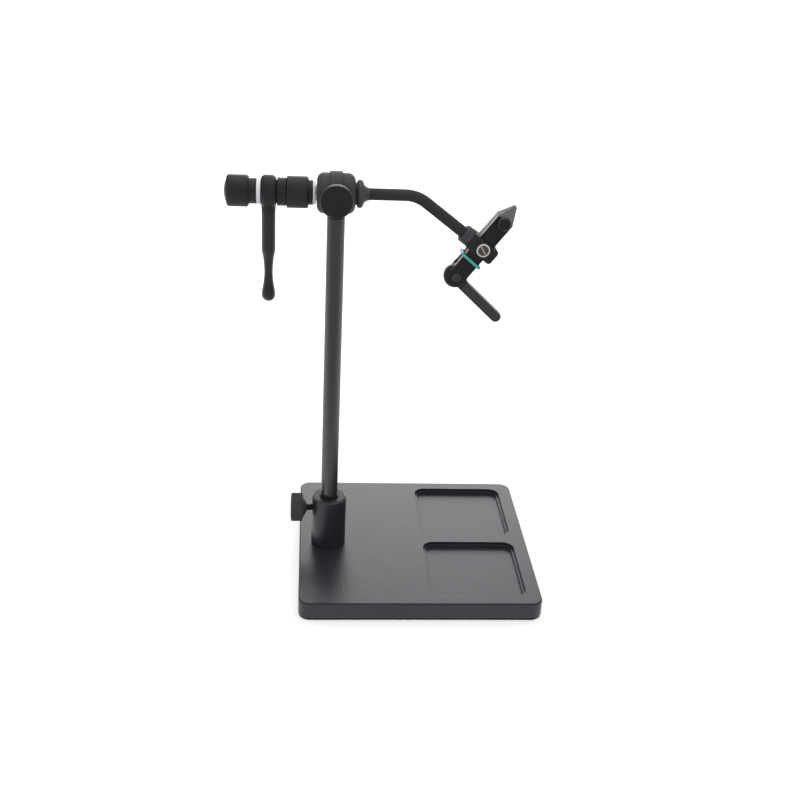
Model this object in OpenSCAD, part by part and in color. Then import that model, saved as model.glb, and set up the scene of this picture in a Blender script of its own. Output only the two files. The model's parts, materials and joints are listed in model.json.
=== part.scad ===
// Rotary fly tying vise on a pedestal base, in millimetres.
// The origin is the middle of the underside, +X runs towards the jaws, +Z is up.

/* [Base] */
// Width of the base plate, side to side
base_w = 136; // [130:1:160]
// Depth of the base plate, front to back
base_d = 138; // [134:1:160]
// Thickness of the base plate
base_t = 9.5; // [8:0.5:14]
// Corner radius of the base plate
base_r = 6.35; // [4:0.05:10]
// Bevel along the top edge of the base plate
base_bevel = 0.6; // [0.4:0.1:2]
// Thickness of the foam pad glued under the plate
pad_t = 1.5; // [1:0.1:3]
// How far the pad stays inside the plate's edge
pad_inset = 0.3; // [0.1:0.1:3]

/* [Trays] */
// Width of each tray, side to side
tray_w = 54.4; // [40:0.1:58]
// Margin from the trays to the plate's front and back edges
tray_end = 7.6; // [5:0.1:16]
// Plate left between the trays and the right edge
tray_margin = 8.2; // [6:0.1:12]
// Plate left between the two trays
tray_gap = 8.4; // [6:0.1:14]
// Corner radius of the trays
tray_r = 6.35; // [4:0.05:12]
// Depth of the trays' upper step
tray_step = 1.7; // [0.8:0.1:2]
// Width of the ledge round the trays' floor
tray_ledge = 1.5; // [1:0.1:3]
// Full depth of the trays
tray_depth = 3; // [2.4:0.1:5]

/* [Stem and holder] */
// Distance from the plate's left edge to the stem
stem_inset = 17; // [14:0.5:24]
// How far the stem stands in front of the plate's middle
stem_front = 2.6; // [0:0.1:20]
// Diameter of the stem
stem_dia = 9.525; // [8:0.005:10]
// Height of the rotary axis above the top of the plate
axis_h = 207.9; // [150:0.1:260]
// Diameter of the stem holder
holder_dia = 20; // [18:0.1:24]
// Height of the stem holder
holder_h = 30.5; // [28:0.5:45]
// Solid floor of the stem holder
holder_floor = 10; // [9:0.5:12]
// Bevel round the top of the stem holder
holder_bevel = 0.9; // [0.3:0.1:1.5]
// Wall of the sleeve between the stem and the holder
sleeve_wall = 0.5; // [0.4:0.05:1]
// How far the sleeve's rim stands above the holder
sleeve_rim = 1.2; // [0.6:0.1:3]
// Diameter of the knob on the stem lock screw
lock_dia = 16.6; // [12:0.1:20]
// Thickness of the knob on the stem lock screw
lock_t = 7.2; // [4:0.1:10]
// Largest diameter of the cone behind that knob
lock_step_dia = 11.6; // [8:0.1:12]
// Length of the cone behind that knob
lock_step_t = 2.2; // [1:0.1:4]
// Thread diameter of the stem lock screw
lock_thread_dia = 4; // [3:0.1:5]
// Bare thread between the cone and the holder
lock_stand_off = 3; // [1:0.1:8]
// Drop from the holder's top to the stem lock screw
lock_drop = 8; // [6:0.5:12]

/* [Head] */
// Distance from the stem's axis back to the rotary axis
head_set_back = 12.5; // [12:0.1:14]
// Diameter of the housing's barrel
housing_dia = 21.8; // [21:0.1:23]
// Length of the housing
housing_len = 20.6; // [19:0.1:24]
// Radius of the housing's round ends
housing_fillet = 4; // [2:0.1:4.5]
// Width of the raised band round the housing
band_w = 6.8; // [4:0.1:8]
// Height of the raised band
band_h = 0.9; // [0.3:0.1:1.2]
// Diameter of the boss that seats on the stem's lug
boss_dia = 14; // [12:0.1:17]
// Diameter of the lug on top of the stem
lug_dia = 14.2; // [12:0.1:17]
// Thickness of the lug on top of the stem
lug_t = 5; // [3.5:0.1:6]
// Diameter of the tilt lock knob
tilt_dia = 17.8; // [14:0.1:18.4]
// Thickness of the tilt lock knob
tilt_t = 3.4; // [2.8:0.1:8]
// Bevel on both edges of the tilt lock knob
tilt_bevel = 0.5; // [0.3:0.1:1.2]
// Diameter of the tilt lock's threaded stud
stud_dia = 6; // [4:0.1:6]

/* [Rotary arm] */
// Diameter of the rotary shaft and arm
arm_dia = 6.35; // [5:0.05:6.5]
// Distance from the stem to the arm's knee
knee_x = 43.5; // [36:0.1:60]
// Distance from the knee to the jaw screw
arm_leg = 46.5; // [38:0.1:60]
// Angle by which the arm bends down
arm_angle = 37; // [30:0.1:45]
// Bend radius of the arm, on its centre line
arm_bend = 19; // [12:0.5:24]
// Diameter of the collar's flange in front of the housing
flange_dia = 15.1; // [12:0.1:17]
// Length of the flange
flange_len = 3; // [2:0.1:5]
// Length of the collar's hollow cone
flare_len = 3.6; // [2:0.1:5]
// Thickness of the front thrust washer
front_washer_t = 0.9; // [0.5:0.1:2]
// Diameter of the front thrust washer
front_washer_dia = 12.2; // [10:0.1:14]

/* [Drag and crank] */
// Diameter of the drag knob
drag_dia = 16.9; // [14:0.1:20]
// Length of the drag knob's barrel
drag_len = 11.6; // [8:0.1:16]
// Diameter of the drag knob's nose
nose_dia = 13.1; // [10:0.1:13.5]
// Length of the drag knob's nose
nose_len = 2.3; // [1:0.1:3]
// Thickness of each thrust washer behind the housing
washer_t = 0.85; // [0.6:0.05:1.5]
// Diameter of the thrust washers behind the housing
washer_dia = 12.8; // [10:0.1:14]
// Diameter of the stop collar
collar_dia = 15; // [12:0.1:16]
// Length of the stop collar
collar_len = 5; // [4:0.1:7]
// Diameter of the crank's hub
hub_dia = 17.5; // [14:0.1:20]
// Length of the crank's hub
hub_len = 8.3; // [8:0.1:10]
// Roundness of the crank hub's edges
hub_round = 2.6; // [1:0.1:3]
// Diameter of the crank lever
lever_dia = 7.4; // [6:0.1:7.4]
// Reach of the crank lever from the rotary axis
lever_reach = 61.6; // [50:0.1:80]
// Diameter of the crank lever's slim neck
lever_neck_dia = 4.6; // [3.5:0.1:5.5]
// Diameter of the end knob
end_dia = 16.9; // [14:0.1:20]
// Length of the end knob's grip
end_len = 11.8; // [6:0.1:14]
// Diameter of the end knob's neck and of its washer
end_neck_dia = 13.5; // [11:0.1:14]
// Length of the end knob's neck
end_neck_len = 4.1; // [2:0.1:6]
// Thickness of the washer between end knob and crank
crank_washer_t = 2.2; // [1:0.1:3]
// Height of the end knob's domed end
end_dome = 1.3; // [1:0.1:3]

/* [Jaws] */
// Width of the jaws
jaw_w = 10; // [8:0.1:10.6]
// Thickness of the front jaw
front_jaw_t = 4.2; // [3.8:0.1:5]
// Thickness of the rear jaw
rear_jaw_t = 3.3; // [2.8:0.1:4]
// Thickness of the rear jaw's tail, which holds the cam lever
rear_tail_t = 3.8; // [3.7:0.1:5]
// Distance from the jaw screw up to the jaw tips
jaw_up = 29.1; // [26:0.1:36]
// Distance from the jaw screw down to the cam pin
jaw_down = 21.3; // [20:0.1:28]
// Length of the jaws' pointed end
jaw_point = 9.2; // [8:0.1:12]
// Radius of the jaw tips
tip_r = 1.2; // [0.8:0.1:2]
// Thickness of each jaw at its tip
tip_t = 1; // [0.5:0.1:2]
// How far the jaws' middle lies behind the jaw screw
jaw_back = 0.9; // [0:0.1:1.5]
// Relief inside the front jaw, which lets it rock
jaw_relief = 1.2; // [1.1:0.05:1.6]
// Width of the jaw block
block_w = 9; // [8:0.1:10]
// Thickness of the jaw block
block_t = 11.2; // [10.8:0.1:13]
// Length of the jaw block beyond the jaw screw
block_front = 8.1; // [7.4:0.1:11]
// Length of the jaw block before the jaw screw
block_back = 8.7; // [7.9:0.1:10]
// Diameter of the block's round socket
socket_dia = 10; // [9:0.1:11]
// Length of the block's round socket
socket_len = 5; // [4:0.1:8]
// Diameter of the bright ring round the jaw screw
ring_dia = 7.4; // [7:0.1:7.8]
// Diameter of the jaw screw's head
jaw_screw_head = 5.8; // [4.4:0.1:6.2]
// Diameter of the jaw adjusting knob
adjust_dia = 7.2; // [5:0.1:8]
// Height of the jaw adjusting knob
adjust_h = 3.2; // [2:0.1:4]
// Drop from the jaw tips to the jaw adjusting knob
adjust_drop = 10.8; // [10.2:0.1:12]
// Diameter of the rubber band round the jaws
band_section = 1.7; // [1.2:0.1:2.2]
// Drop from the jaw screw to the rubber band
band_drop = 9; // [7.4:0.05:10]
// Diameter of the cam lever's hub
cam_dia = 13.4; // [12:0.1:14]
// Width of the cam lever
cam_w = 6; // [4:0.1:7]
// Thickness of the cam lever's arm
cam_t = 3.8; // [3:0.1:4.4]
// Reach of the cam lever from its pin
cam_reach = 36.7; // [24:0.1:45]
// Angle of the cam lever below the jaw block's line
cam_angle = 6; // [0:0.5:12]
// How far the cam lever's arm lies below its pin's line
cam_drop = 0.8; // [0:0.1:1]
// Diameter of the cam pin
cam_pin_dia = 3.2; // [2.4:0.1:3.6]

/* [Fits] */
// Radial clearance of shafts, pins and threads in their holes
fit = 0.05; // [0.02:0.01:0.08]
// Clearance between flat faces that slide
slide_gap = 0.1; // [0.05:0.01:0.15]
// Clearance of the rubber band
soft_gap = 0.25; // [0.1:0.05:0.4]

/* [Hidden] */

$fn = 96;
// Overrun of every cut past the surface that it starts from
cut = 1;
// Thinner bend and the lap that joins it to the straight runs
bend_slim = 0.02;
bend_lap = 1;

// Heights and places of the frame
plate_z = pad_t;
deck_z = pad_t + base_t;
stem_x = stem_inset - base_w / 2;
stem_y = -stem_front;
axis_z = deck_z + axis_h;
head_y = stem_y + head_set_back;
tray_x = base_w / 2 - tray_margin - tray_w / 2;
tray_d = (base_d - tray_gap) / 2 - tray_end;
stem_r = stem_dia / 2;
arm_r = arm_dia / 2;

// Holder, sleeve and stem
holder_top = deck_z + holder_h;
sleeve_in_r = stem_r + fit;
sleeve_out_r = sleeve_in_r + sleeve_wall;
well_z = deck_z + holder_floor;
screw_r = 3;
screw_head_r = 5.8;
screw_head_h = 3.2;
screw_len = 16;
screw_hex_r = 2.3;
screw_hex_h = 2;
stem_tip_bevel = 0.6;
lock_z = holder_top - lock_drop;
lock_thread_r = lock_thread_dia / 2;
lock_bevel = 0.5;
lock_face = holder_dia / 2 + lock_stand_off;
// Solid part of the knob beyond its bore
lock_cap = 3.2;
lock_bore_len = lock_step_t + lock_t - lock_cap;
// Rim between the screw and the narrow end of the knob's cone
lock_cone_rim = 0.6;

// Stem's lug and the tilt lock
lug_front_y = -lug_t / 2;
lug_back_y = lug_t / 2;
ledge_drop = 9.3;
back_ledge_drop = 13;
stud_r = stud_dia / 2;
stud_reach = 4;
stud_in_knob = 2.2;
boss_depth = 4.5;
// Housing's seat behind the lug, and the knob's seat before it
seat_y = stem_y + lug_back_y + fit;
tilt_back_y = stem_y + lug_front_y - fit;

// Places along the rotary axis, from the stem's plane
housing_r = housing_dia / 2;
band_r = housing_r + band_h;
bushing_r = 4.4;
bushing_proud = 0.3;
// Room left between the two bushings
bushing_gap = 3.3;
bushing_len = (housing_len + bushing_proud - bushing_gap) / 2;
front_washer_x = housing_len / 2;
flange_x = front_washer_x + front_washer_t;
flange_end_x = flange_x + flange_len;
flange_bevel = 0.8;
flare_r = flange_dia / 2 - flange_bevel;
flare_lip = 0.25;
flare_end_r = arm_r + flare_lip;
steel_washer_x = -housing_len / 2 - bushing_proud - washer_t;
nylon_washer_x = steel_washer_x - washer_t;
nose_x = nylon_washer_x - nose_len;
drag_x = nose_x - drag_len;
drag_bevel = 0.8;
drag_edge = 0.3;
collar_x = drag_x - slide_gap - collar_len;
collar_edge = 0.4;
collar_groove_w = 0.4;
collar_groove_h = 0.3;
set_screw_r = 1.5;
set_screw_hex_r = 0.75;
set_screw_hex_h = 1.5;
hub_shoulder = 0.4;
hub_shoulder_r = 6.2;
hub_x = collar_x - hub_shoulder - hub_len;
crank_x = hub_x + hub_len / 2;
crank_washer_x = hub_x - crank_washer_t;
end_neck_x = crank_washer_x - end_neck_len;
end_x = end_neck_x - end_len;
end_bevel = 0.9;
end_round = 1.7;
end_bore = 3;
dome_rim = 0.3;
dome_r = end_dia / 2 - end_round - dome_rim;
dome_sphere_r = (dome_r * dome_r + end_dome * end_dome) / (2 * end_dome);
shaft_end_x = end_x + end_bore;

// Crank lever, measured down from the rotary axis
lever_r = lever_dia / 2;
lever_neck_r = lever_neck_dia / 2;
lever_root = 2.1;
lever_start = hub_dia / 2 + lever_root;
socket_flare = 0.3;
hub_socket_r = lever_r + socket_flare;
tenon_r = 2.4;
tenon_len = 4.5;
// Outline from the grip's taper to its bulb: shares of the reach, and of the radius above the neck's
lever_reach_shares = [0.515, 0.545, 0.58, 0.636, 0.69, 0.745, 0.8, 0.855, 0.909];
lever_radius_shares = [1, 0.84, 0.52, 0.2, 0.04, 0, 0.17, 0.5, 0.92];
lever_bulb = lever_reach - lever_r;

// Jaw screw's place, and the jaws' own frame: X along the block, Z up the jaws
jaw_screw_x = knee_x + arm_leg * cos(arm_angle);
jaw_screw_z = -arm_leg * sin(arm_angle);
block_half = block_t / 2;
block_round = 2;
block_bevel = 0.5;
socket_x = -block_back - socket_len;
arm_seat = 1.7;
arm_seat_x = arm_seat - block_back;
arm_tip_x = arm_seat_x - slide_gap;
jaw_half = jaw_w / 2;
slot_x = -jaw_back - jaw_half - fit;
slot_w = jaw_w + 2 * fit;
shoulder_z = jaw_up - jaw_point;
tip_z = jaw_up - tip_r;
pin_z = -jaw_down;
adjust_z = jaw_up - adjust_drop;
tip_bevel_len = 9.4;
tip_bevel_start = jaw_up - tip_bevel_len;
part_gap = 0.05;
relief_over = 1;
relief_top = adjust_z + relief_over;
cam_r = cam_dia / 2;
cam_front_y = part_gap - jaw_relief;
cam_hub_t = 2.3;
rock_room = 1.2;
cam_back_y = cam_front_y + cam_hub_t;
ear_y = cam_back_y + rock_room;
cam_room = 0.5;
cam_pocket_z = pin_z + cam_r + cam_room;
cam_arm_start = cam_r + cam_room;
cam_arm_set = 0.6;
cam_arm_y = cam_front_y - cam_arm_set;
cam_edge = 0.5;
pin_r = cam_pin_dia / 2;
pin_head_rim = 0.8;
pin_head_r = pin_r + pin_head_rim;
pin_head_h = 0.4;
dimple_r = 0.5;
dimple_x = -1.1;
dimple_z = -3.6;
jaw_screw_r = 1.95;
jaw_screw_head_h = 0.65;
slot_cut_w = 0.8;
slot_cut_d = 0.45;
slot_turn = 112;
ring_h = 0.75;
rock_gap = 0.3;
adjust_screw_r = 1.4;
adjust_seat_gap = 0.12;
adjust_edge = 0.4;
band_corner = 1.1;

// Rounded plate with square edges, standing on z
module rounded_plate(w, d, h, r) {
  union() {
    translate([-w / 2 + r, -d / 2, 0]) cube([w - 2 * r, d, h]);
    translate([-w / 2, -d / 2 + r, 0]) cube([w, d - 2 * r, h]);
    for (sx = [-1, 1], sy = [-1, 1])
      translate([sx * (w / 2 - r), sy * (d / 2 - r), 0]) cylinder(r = r, h = h);
  }
}

// Straight bevel prism: a trapezoid of width w, running for length l
module bevel_prism(w, l, b) {
  rotate([90, 0, 0]) translate([0, 0, -l / 2]) linear_extrude(l)
    polygon([[-w / 2, 0], [w / 2, 0], [w / 2 - b, b], [-w / 2 + b, b]]);
}

// Layer of height b that draws a rounded plate's outline in by b
module bevel_layer(w, d, r, b) {
  union() {
    bevel_prism(w, d - 2 * r, b);
    rotate([0, 0, 90]) bevel_prism(d, w - 2 * r, b);
    for (sx = [-1, 1], sy = [-1, 1])
      translate([sx * (w / 2 - r), sy * (d / 2 - r), 0]) cylinder(r1 = r, r2 = r - b, h = b);
  }
}

// Moves to a place on the rotary axis and turns +Z along +X
module on_axis(x) {
  translate([stem_x + x, head_y, axis_z]) rotate([0, 90, 0]) children();
}

// Half outline of a turned bar: bevel b1 at its start, b2 at its end
module turned(r, l, b1, b2) {
  polygon([[0, 0], [r - b1, 0], [r, b1], [r, l - b2], [r - b2, l], [0, l]]);
}

// Half outline of a turned bar with round edges
module turned_round(r, l, f) {
  square([r - f, l]);
  translate([0, f]) square([r, l - 2 * f]);
  translate([r - f, f]) circle(r = f, $fn = 48);
  translate([r - f, l - f]) circle(r = f, $fn = 48);
}

// Moves into the jaws' own frame
module at_jaws() {
  translate([stem_x + jaw_screw_x, head_y, axis_z + jaw_screw_z]) rotate([0, arm_angle, 0]) children();
}

// Cylinder along +Y from y1 to y2, at x and z
module y_pin(x, z, r, y1, y2) {
  translate([x, y1, z]) rotate([-90, 0, 0]) cylinder(r = r, h = y2 - y1);
}

// Cylinder along +Y with both edges bevelled
module y_turned(x, z, r, y1, y2, b1, b2) {
  translate([x, y1, z]) rotate([-90, 0, 0]) rotate_extrude() turned(r, y2 - y1, b1, b2);
}

module base_pad() {
  color("#1b1b1d")
    rounded_plate(base_w - 2 * pad_inset, base_d - 2 * pad_inset, pad_t, base_r - pad_inset);
}

// One stepped tray, cut down from the deck
module tray_cut(y) {
  translate([tray_x, y, deck_z - tray_step]) rounded_plate(tray_w, tray_d, tray_step + cut, tray_r);
  translate([tray_x, y, deck_z - tray_depth])
    rounded_plate(tray_w - 2 * tray_ledge, tray_d - 2 * tray_ledge, tray_depth, tray_r - tray_ledge);
}

module base_plate() {
  color("#3b3c3e") difference() {
    union() {
      translate([0, 0, plate_z]) rounded_plate(base_w, base_d, base_t - base_bevel, base_r);
      translate([0, 0, deck_z - base_bevel]) bevel_layer(base_w, base_d, base_r, base_bevel);
    }
    tray_cut((tray_gap + tray_d) / 2);
    tray_cut(-(tray_gap + tray_d) / 2);
    translate([stem_x, stem_y, plate_z - cut]) cylinder(r = screw_r + fit, h = base_t + 2 * cut);
    translate([stem_x, stem_y, plate_z - fit])
      cylinder(r1 = screw_head_r + fit, r2 = screw_r + fit, h = screw_head_h);
  }
}

module stem_holder() {
  color("#3a3b3d") difference() {
    translate([stem_x, stem_y, deck_z])
      rotate_extrude() turned(holder_dia / 2, holder_h, holder_bevel / 2, holder_bevel);
    translate([stem_x, stem_y, well_z]) cylinder(r = sleeve_out_r + fit, h = holder_h);
    translate([stem_x, stem_y, deck_z - cut])
      cylinder(r = screw_r + fit, h = cut + screw_len + slide_gap - base_t);
    translate([stem_x, stem_y, lock_z]) rotate([0, -90, 0])
      cylinder(r = lock_thread_r + fit, h = holder_dia / 2 + cut);
  }
}

module holder_screw() {
  color("#9a9da1") translate([stem_x, stem_y, plate_z]) difference() {
    union() {
      cylinder(r1 = screw_head_r, r2 = screw_r, h = screw_head_h);
      cylinder(r = screw_r, h = screw_len);
    }
    translate([0, 0, -cut]) cylinder(r = screw_hex_r, h = screw_hex_h + cut, $fn = 6);
  }
}

module stem_sleeve() {
  color("#141416") translate([stem_x, stem_y, well_z + slide_gap]) difference() {
    cylinder(r = sleeve_out_r, h = holder_top + sleeve_rim - well_z - slide_gap);
    translate([0, 0, -cut]) cylinder(r = sleeve_in_r, h = holder_h);
  }
}

module stem_lock_knob() {
  color("#4a4b4d") translate([stem_x - lock_face, stem_y, lock_z]) rotate([0, -90, 0]) difference() {
    union() {
      cylinder(r1 = lock_thread_r + lock_cone_rim, r2 = lock_step_dia / 2, h = lock_step_t);
      translate([0, 0, lock_step_t]) rotate_extrude() turned(lock_dia / 2, lock_t, lock_bevel, lock_bevel);
    }
    translate([0, 0, -cut]) cylinder(r = lock_thread_r + fit, h = lock_bore_len + cut);
  }
}

module stem_lock_screw() {
  color("#202124") translate([stem_x, stem_y, lock_z]) rotate([0, -90, 0])
    translate([0, 0, sleeve_out_r + slide_gap])
      cylinder(r = lock_thread_r, h = lock_face + lock_bore_len - sleeve_out_r - 2 * slide_gap);
}

module stem() {
  color("#474849") translate([stem_x, stem_y, 0]) difference() {
    union() {
      translate([0, 0, well_z + 2 * slide_gap]) rotate_extrude()
        turned(stem_r, axis_z - ledge_drop - well_z - 2 * slide_gap, stem_tip_bevel, stem_tip_bevel / 2);
      intersection() {
        translate([0, 0, axis_z - back_ledge_drop]) cylinder(r = stem_r, h = back_ledge_drop);
        translate([-stem_r, lug_front_y, axis_z - back_ledge_drop])
          cube([stem_dia, lug_t, back_ledge_drop]);
      }
      y_pin(0, axis_z, lug_dia / 2, lug_front_y, lug_back_y);
    }
    y_pin(0, axis_z, stud_r + fit, lug_front_y - cut, lug_back_y + cut);
    translate([-stem_dia, lug_back_y, axis_z - back_ledge_drop])
      cube([2 * stem_dia, stem_dia, back_ledge_drop]);
  }
}

module housing() {
  color("#4b4c4e") difference() {
    union() {
      on_axis(-housing_len / 2) rotate_extrude() turned_round(housing_r, housing_len, housing_fillet);
      on_axis(-band_w / 2) rotate_extrude() turned(band_r, band_w, band_h / 3, band_h / 3);
      y_pin(stem_x, axis_z, boss_dia / 2, seat_y, seat_y + boss_depth);
    }
    on_axis(-housing_len) cylinder(r = bushing_r + fit, h = 2 * housing_len);
    y_pin(stem_x, axis_z, stud_r + fit, seat_y - cut, seat_y + stud_reach + slide_gap);
    translate([stem_x - housing_len, seat_y - housing_dia, axis_z - housing_dia])
      cube([2 * housing_len, housing_dia, 2 * housing_dia]);
  }
}

module bushing(x) {
  color("#b4b6b9") on_axis(x) difference() {
    cylinder(r = bushing_r, h = bushing_len);
    translate([0, 0, -cut]) cylinder(r = arm_r + fit, h = bushing_len + 2 * cut);
  }
}

module rear_bushing() {
  bushing(-housing_len / 2 - bushing_proud);
}

module front_bushing() {
  bushing(housing_len / 2 - bushing_len);
}

module tilt_lock_knob() {
  color("#38393b") difference() {
    y_turned(stem_x, axis_z, tilt_dia / 2, tilt_back_y - tilt_t, tilt_back_y, tilt_bevel, tilt_bevel);
    y_pin(stem_x, axis_z, stud_r + fit, tilt_back_y - stud_in_knob - slide_gap, tilt_back_y + cut);
  }
}

module tilt_lock_stud() {
  color("#8d9094")
    y_pin(stem_x, axis_z, stud_r, tilt_back_y - stud_in_knob, seat_y + stud_reach);
}

// Straight, bent and straight again, from the end knob to the jaw block
module rotary_arm() {
  bend_run = arm_bend * tan(arm_angle / 2);
  color("#47484a") union() {
    on_axis(shaft_end_x) cylinder(r = arm_r, h = knee_x - bend_run - shaft_end_x);
    translate([stem_x + knee_x - bend_run, head_y, axis_z - arm_bend])
      rotate([90, arm_angle + bend_lap - 90, 0]) rotate_extrude(angle = arm_angle + 2 * bend_lap)
        translate([arm_bend, 0]) circle(r = arm_r - bend_slim);
    at_jaws() translate([bend_run - arm_leg, 0, 0]) rotate([0, 90, 0])
      cylinder(r = arm_r, h = arm_leg - bend_run + arm_tip_x);
  }
}

// Flange ring with a hollow cone that runs down to the arm
module arm_collar() {
  cove_r = flare_r - flare_end_r;
  flare_top = flange_len + flare_len;
  color("#48494b") on_axis(flange_x) rotate_extrude() difference() {
    union() {
      turned(flange_dia / 2, flange_len, flange_bevel, flange_bevel);
      square([flare_r, flare_top]);
    }
    translate([0, -cut]) square([arm_r + fit, flare_top + 2 * cut]);
    translate([flare_r, flare_top]) circle(r = cove_r);
  }
}

module ring_on_axis(x, r, t) {
  on_axis(x) difference() {
    cylinder(r = r, h = t);
    translate([0, 0, -cut]) cylinder(r = arm_r + fit, h = t + 2 * cut);
  }
}

module front_thrust_washer() {
  color("#1d1d1f") ring_on_axis(front_washer_x + fit, front_washer_dia / 2, front_washer_t - 2 * fit);
}

module nylon_thrust_washer() {
  color("#eef1f6") ring_on_axis(nylon_washer_x, washer_dia / 2, washer_t);
}

module steel_thrust_washer() {
  color("#c9ccd1") ring_on_axis(steel_washer_x + fit, washer_dia / 2, washer_t - 2 * fit);
}

module drag_knob() {
  color("#454648") on_axis(drag_x) difference() {
    rotate_extrude() union() {
      turned(drag_dia / 2, drag_len, drag_edge, drag_bevel);
      square([nose_dia / 2, drag_len + nose_len - fit]);
    }
    translate([0, 0, -cut]) cylinder(r = arm_r + fit, h = drag_len + nose_len + 2 * cut);
  }
}

module stop_collar() {
  color("#464749") difference() {
    on_axis(collar_x) rotate_extrude() difference() {
      turned(collar_dia / 2, collar_len, collar_edge, collar_edge);
      translate([0, -cut]) square([arm_r + fit, collar_len + 2 * cut]);
      for (share = [0.3, 0.62])
        translate([collar_dia / 2 - collar_groove_h, share * collar_len]) square([cut, collar_groove_w]);
    }
    y_pin(stem_x + collar_x + collar_len / 2, axis_z, set_screw_r + fit, head_y, head_y + collar_dia);
  }
}

module collar_set_screw() {
  screw_end = head_y + collar_dia / 2 - collar_edge;
  color("#2a2b2d") difference() {
    y_pin(stem_x + collar_x + collar_len / 2, axis_z, set_screw_r, head_y + arm_r + fit, screw_end);
    translate([stem_x + collar_x + collar_len / 2, screw_end - set_screw_hex_h, axis_z]) rotate([-90, 0, 0])
      cylinder(r = set_screw_hex_r, h = set_screw_hex_h + cut, $fn = 6);
  }
}

module crank_hub() {
  color("#48494b") difference() {
    union() {
      on_axis(hub_x) rotate_extrude() turned_round(hub_dia / 2, hub_len, hub_round);
      on_axis(hub_x + hub_len / 2) cylinder(r = hub_shoulder_r, h = hub_len / 2 + hub_shoulder - fit);
      translate([stem_x + crank_x, head_y, axis_z - lever_start])
        cylinder(r1 = lever_r, r2 = hub_socket_r, h = lever_start / 2);
    }
    on_axis(hub_x - cut) cylinder(r = arm_r + fit, h = hub_len + hub_shoulder + 2 * cut);
    translate([stem_x + crank_x, head_y, axis_z - lever_start - cut])
      cylinder(r = tenon_r + fit, h = tenon_len + slide_gap + cut);
  }
}

// Half outline of the lever below the hub, as drops from the axis
module lever_outline() {
  swell = lever_r - lever_neck_r;
  polygon([
    [0, lever_start + fit],
    [lever_r, lever_start + fit],
    for (i = [0 : len(lever_reach_shares) - 1])
      [lever_neck_r + lever_radius_shares[i] * swell, lever_reach_shares[i] * lever_reach],
    [lever_r, lever_bulb],
    [0, lever_bulb]]);
}

module crank_lever() {
  color("#4a4b4d") translate([stem_x + crank_x, head_y, axis_z]) union() {
    mirror([0, 0, 1]) rotate_extrude() lever_outline();
    translate([0, 0, -lever_bulb]) sphere(r = lever_r);
    translate([0, 0, -lever_start - lever_r]) cylinder(r = tenon_r, h = lever_r + tenon_len);
  }
}

module crank_washer() {
  color("#f1f4f8") ring_on_axis(crank_washer_x + fit, end_neck_dia / 2, crank_washer_t - 2 * fit);
}

module end_knob() {
  color("#48494b") on_axis(end_x) difference() {
    rotate_extrude() union() {
      translate([0, end_round]) turned(end_dia / 2, end_len - end_round, 0, end_bevel);
      translate([end_dia / 2 - end_round, end_round]) circle(r = end_round, $fn = 48);
      square([end_dia / 2 - end_round, end_len]);
      square([end_neck_dia / 2, end_len + end_neck_len]);
      intersection() {
        translate([0, dome_sphere_r - end_dome]) circle(r = dome_sphere_r);
        translate([0, -end_dome]) square([dome_r, end_dome + end_bevel]);
      }
    }
    translate([0, 0, end_bore]) cylinder(r = arm_r + fit, h = end_len + end_neck_len);
  }
}

// Block outline in the jaws' frame, with two round corners at its far end
module block_outline() {
  square_len = block_back + block_front;
  union() {
    translate([-block_back, -block_w / 2]) square([square_len - block_round, block_w]);
    translate([-block_back, -block_w / 2 + block_round]) square([square_len, block_w - 2 * block_round]);
    for (side = [-1, 1])
      translate([block_front - block_round, side * (block_w / 2 - block_round)])
        circle(r = block_round, $fn = 64);
  }
}

module jaw_block() {
  color("#3f4042") at_jaws() difference() {
    union() {
      rotate([90, 0, 0]) translate([0, 0, -block_half]) linear_extrude(block_t) block_outline();
      translate([socket_x, 0, 0]) rotate([0, 90, 0])
        rotate_extrude() turned(socket_dia / 2, socket_len + block_bevel, block_bevel, 0);
    }
    translate([socket_x - cut, 0, 0]) rotate([0, 90, 0])
      cylinder(r = arm_r + fit, h = arm_seat_x - socket_x + cut);
    translate([slot_x, -front_jaw_t - slide_gap, -block_w])
      cube([slot_w, front_jaw_t + rear_jaw_t + slide_gap + fit, 2 * block_w]);
    y_pin(0, 0, jaw_screw_r + fit, -block_t, block_half - block_bevel);
    translate([socket_x + socket_len / 2, 0, -socket_dia]) cylinder(r = set_screw_r + fit, h = socket_dia);
  }
}

module block_set_screw() {
  screw_start = socket_dia / 2 - block_bevel;
  color("#2a2b2d") at_jaws() translate([socket_x + socket_len / 2, 0, -screw_start]) difference() {
    cylinder(r = set_screw_r, h = screw_start - arm_r - fit);
    translate([0, 0, -cut]) cylinder(r = set_screw_hex_r, h = set_screw_hex_h / 2 + cut, $fn = 6);
  }
}

module jaw_screw() {
  color("#8b7f78") at_jaws() difference() {
    union() {
      y_pin(0, 0, jaw_screw_head / 2, -block_half - fit - jaw_screw_head_h, -block_half - fit);
      y_pin(0, 0, jaw_screw_r, -block_half - jaw_screw_head_h, block_half - 2 * block_bevel);
    }
    rotate([0, slot_turn, 0])
      translate([-slot_cut_w / 2, -block_half - fit - jaw_screw_head_h - cut, -jaw_screw_head])
        cube([slot_cut_w, slot_cut_d + cut, 2 * jaw_screw_head]);
  }
}

module jaw_screw_ring() {
  color("#dfe2e6") at_jaws() difference() {
    y_turned(0, 0, ring_dia / 2, -block_half - fit - ring_h, -block_half - fit, ring_h / 4, 0);
    y_pin(0, 0, jaw_screw_head / 2 + fit, -block_t, 0);
  }
}

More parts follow.
